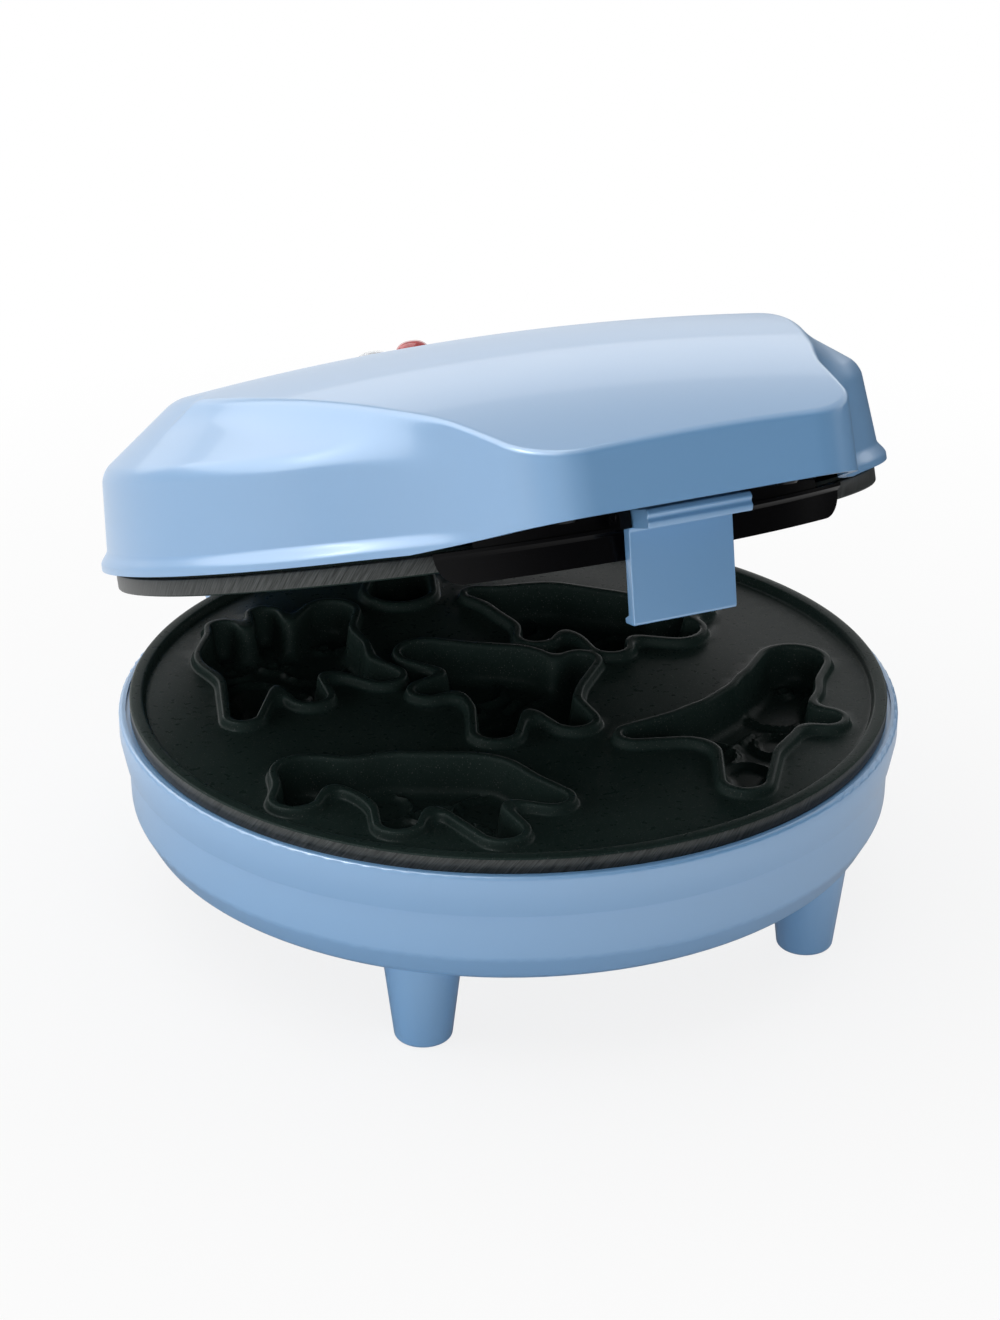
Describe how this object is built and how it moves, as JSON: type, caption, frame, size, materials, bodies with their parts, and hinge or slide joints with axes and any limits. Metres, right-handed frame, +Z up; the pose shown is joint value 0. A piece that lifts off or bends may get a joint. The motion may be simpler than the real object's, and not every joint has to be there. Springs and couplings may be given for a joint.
{
  "type": "figure cake maker",
  "caption": "Round hinged figure cake maker with cast non-stick mould plates, a heated lid with a front nose and snap latch, signal lamps and a footed bowl base.",
  "frame": {"origin": "on the table, under the middle of the mould plates", "axes": "+Z up, +Y to the hinge at the back, -Y to the latch at the front, lid stored part open"},
  "size_m": [0.2142, 0.2416, 0.173],
  "materials": {
    "blue_shell": "smooth light blue gloss",
    "black_trim": "smooth black gloss",
    "non_stick": "speckled dark non-stick coat",
    "bright_sheet": "bright rolled sheet",
    "steel": "plain drawn steel",
    "screw_steel": "zinc plated",
    "heating_tube": "heat-darkened steel",
    "black_rubber": "matt",
    "cream_ceramic": "matt",
    "fuse_case": "dull",
    "red_lens": "clear red, faceted",
    "clear_lens": "milky clear, faceted",
    "bulb_glass": "clear"
  },
  "bodies": {
    "base": {"base_bowl": "blue_shell", "foot_pads": "black_rubber", "hinge_pin": "steel", "lower_plate": "non_stick", "lower_heating_element": "heating_tube", "lower_element_supports": "steel", "lower_reflector": "bright_sheet", "base_screws": "screw_steel", "cord_inlet_bush": "black_rubber", "terminal_block": "cream_ceramic"},
    "lid": {"lid_shell": "blue_shell", "upper_plate": "non_stick", "upper_heating_element": "heating_tube", "upper_element_supports": "steel", "upper_reflector": "bright_sheet", "plate_screws": "screw_steel", "front_guard": "black_trim", "guard_screws": "screw_steel", "thermostat": "cream_ceramic", "thermal_fuse": "fuse_case", "fuse_clip": "steel", "power_lamp_lens": "red_lens", "ready_lamp_lens": "clear_lens", "lamp_bulbs": "bulb_glass", "lamp_holder": "black_trim", "latch_pin": "steel"},
    "latch": {"latch_clip": "blue_shell"}
  },
  "joints": [
    {"name": "lid_hinge", "type": "hinge", "parent": "base", "child": "lid", "pos_m": [0, 0.1197, 0.0604], "axis": [-1, 0, 0], "range_deg": [-19.7, 80]},
    {"name": "latch_pivot", "type": "hinge", "parent": "lid", "child": "latch", "pos_m": [0, -0.09711, 0.14926], "axis": [-1, 0, 0], "range_deg": [0, 20]}
  ]
}
